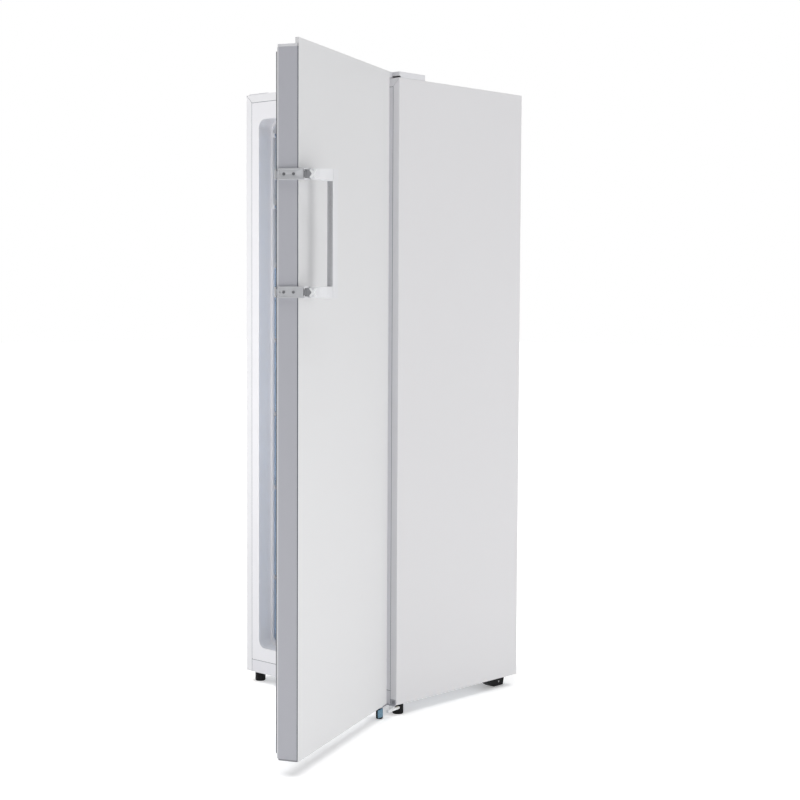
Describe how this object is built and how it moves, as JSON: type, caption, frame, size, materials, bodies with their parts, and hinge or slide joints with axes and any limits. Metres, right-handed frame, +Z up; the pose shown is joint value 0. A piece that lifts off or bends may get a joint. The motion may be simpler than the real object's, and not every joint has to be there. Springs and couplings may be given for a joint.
{
  "type": "side by side refrigerator cabinet",
  "caption": "Tall white single-door cabinet of a side by side refrigerator pair, with a lever handle, clear drawers behind the opening and a rear condenser.",
  "frame": {"origin": "on the floor on the door's pivot axis, at the middle of the hinge foot's underside", "axes": "+Z up, +X towards the hinge side, -Y towards the front of the cabinet"},
  "size_m": [0.8615, 1.1154, 1.7173],
  "materials": {
    "body_paint": "satin",
    "door_paint": "satin",
    "edge_paint": "satin",
    "bracket_steel": "satin",
    "galvanised": "satin",
    "white_plastic": "gloss",
    "liner_plastic": "gloss",
    "dark_plastic": "matte",
    "black_rubber": "matte",
    "seal_rubber": "matte",
    "clear_blue": "gloss",
    "plate_glass": "polished",
    "foam": "matte",
    "cooler_aluminium": "satin",
    "condenser_black": "satin",
    "compressor_black": "satin",
    "copper": "satin",
    "handle_metal": "polished",
    "lamp_cover": "satin"
  },
  "bodies": {
    "cabinet": {"left_side_panel": "body_paint", "right_side_panel": "body_paint", "top_panel": "body_paint", "rear_panel": "galvanised", "base_plate": "galvanised", "front_rail": "body_paint", "inner_liner": "liner_plastic", "cabinet_foam": "foam", "evaporator": "cooler_aluminium", "condenser": "condenser_black", "compressor": "compressor_black", "compressor_mounts": "black_rubber", "drip_tray": "dark_plastic", "filter_dryer": "copper", "power_inlet": "dark_plastic", "front_left_foot": "dark_plastic", "front_right_foot": "dark_plastic", "hinge_foot": "dark_plastic", "rear_roller_housings": "galvanised", "rear_roller_axles": "bracket_steel", "top_hinge_bracket": "bracket_steel", "top_hinge_cover": "white_plastic", "bottom_hinge_bracket": "bracket_steel", "hinge_screws": "bracket_steel", "blank_cover": "white_plastic", "stop_rod": "white_plastic", "dividing_plates": "plate_glass", "plate_trims": "white_plastic", "control_panel": "white_plastic", "lamp_lens": "lamp_cover", "fan_cover": "white_plastic"},
    "door": {"door_outer_panel": "door_paint", "door_free_edge": "edge_paint", "door_hinge_edge": "edge_paint", "door_top_cap": "white_plastic", "door_bottom_cap": "dark_plastic", "door_foam": "foam", "door_bushes": "white_plastic", "door_liner": "liner_plastic", "door_gasket": "seal_rubber", "handle_brackets": "bracket_steel", "handle_screws": "bracket_steel", "handle_pins": "bracket_steel"},
    "lever": {"handle_grip": "white_plastic", "handle_links": "bracket_steel", "handle_insert": "handle_metal", "spring_clips": "white_plastic"},
    "pushers": {"handle_pushers": "bracket_steel"},
    "left_roller": {"rear_left_roller": "dark_plastic"},
    "right_roller": {"rear_right_roller": "dark_plastic"},
    "fan": {"fan_rotor": "dark_plastic"},
    "power_key": {"power_button": "dark_plastic"},
    "temperature_key": {"temperature_button": "dark_plastic"},
    "lower_flap_body": {"lower_flap": "clear_blue"},
    "upper_flap_body": {"upper_flap": "clear_blue"},
    "drawer_1_body": {"drawer_1": "clear_blue"},
    "drawer_2_body": {"drawer_2": "clear_blue"},
    "drawer_3_body": {"drawer_3": "clear_blue"},
    "drawer_4_body": {"drawer_4": "clear_blue"},
    "drawer_5_body": {"drawer_5": "clear_blue"}
  },
  "joints": [
    {"name": "door_hinge", "type": "hinge", "parent": "cabinet", "child": "door", "pos_m": [0, 0, 0.85], "axis": [0, 0, 1], "range_deg": [-112.9, 2.3]},
    {"name": "handle_lever", "type": "hinge", "parent": "door", "child": "lever", "pos_m": [0.25521, -0.51422, 1.27], "axis": [0, 0, -1], "range_deg": [0, 14], "stiffness_Nm_per_rad": 4},
    {"name": "pusher_slide", "type": "slide", "parent": "door", "child": "pushers", "axis": [-0.9212, -0.3891, 0], "range_m": [0, 0.0021]},
    {"name": "left_roller_spin", "type": "hinge", "parent": "cabinet", "child": "left_roller", "pos_m": [-0.544, 0.503, 0.015], "axis": [1, 0, 0], "continuous": true},
    {"name": "right_roller_spin", "type": "hinge", "parent": "cabinet", "child": "right_roller", "pos_m": [-0.016, 0.503, 0.015], "axis": [1, 0, 0], "continuous": true},
    {"name": "fan_spin", "type": "hinge", "parent": "cabinet", "child": "fan", "pos_m": [-0.28, 0.475, 1.5115], "axis": [0, 1, 0], "continuous": true},
    {"name": "power_press", "type": "slide", "parent": "cabinet", "child": "power_key", "axis": [0, 1, 0], "range_m": [0, 0.001], "stiffness_N_per_m": 400},
    {"name": "temperature_press", "type": "slide", "parent": "cabinet", "child": "temperature_key", "axis": [0, 1, 0], "range_m": [0, 0.001], "stiffness_N_per_m": 400},
    {"name": "lower_flap_pivot", "type": "hinge", "parent": "cabinet", "child": "lower_flap_body", "pos_m": [-0.28, 0.1005, 1.385], "axis": [-1, 0, 0], "range_deg": [0, 80]},
    {"name": "upper_flap_pivot", "type": "hinge", "parent": "cabinet", "child": "upper_flap_body", "pos_m": [-0.28, 0.1005, 1.589], "axis": [-1, 0, 0], "range_deg": [0, 80]},
    {"name": "drawer_1_slide", "type": "slide", "parent": "cabinet", "child": "drawer_1_body", "axis": [0, -1, 0], "range_m": [0, 0.2]},
    {"name": "drawer_2_slide", "type": "slide", "parent": "cabinet", "child": "drawer_2_body", "axis": [0, -1, 0], "range_m": [0, 0.28]},
    {"name": "drawer_3_slide", "type": "slide", "parent": "cabinet", "child": "drawer_3_body", "axis": [0, -1, 0], "range_m": [0, 0.28]},
    {"name": "drawer_4_slide", "type": "slide", "parent": "cabinet", "child": "drawer_4_body", "axis": [0, -1, 0], "range_m": [0, 0.28]},
    {"name": "drawer_5_slide", "type": "slide", "parent": "cabinet", "child": "drawer_5_body", "axis": [0, -1, 0], "range_m": [0, 0.28]}
  ],
  "couplings": [
    {"joint": "pusher_slide", "follows": "handle_lever", "m_per_rad": 0.0085}
  ]
}
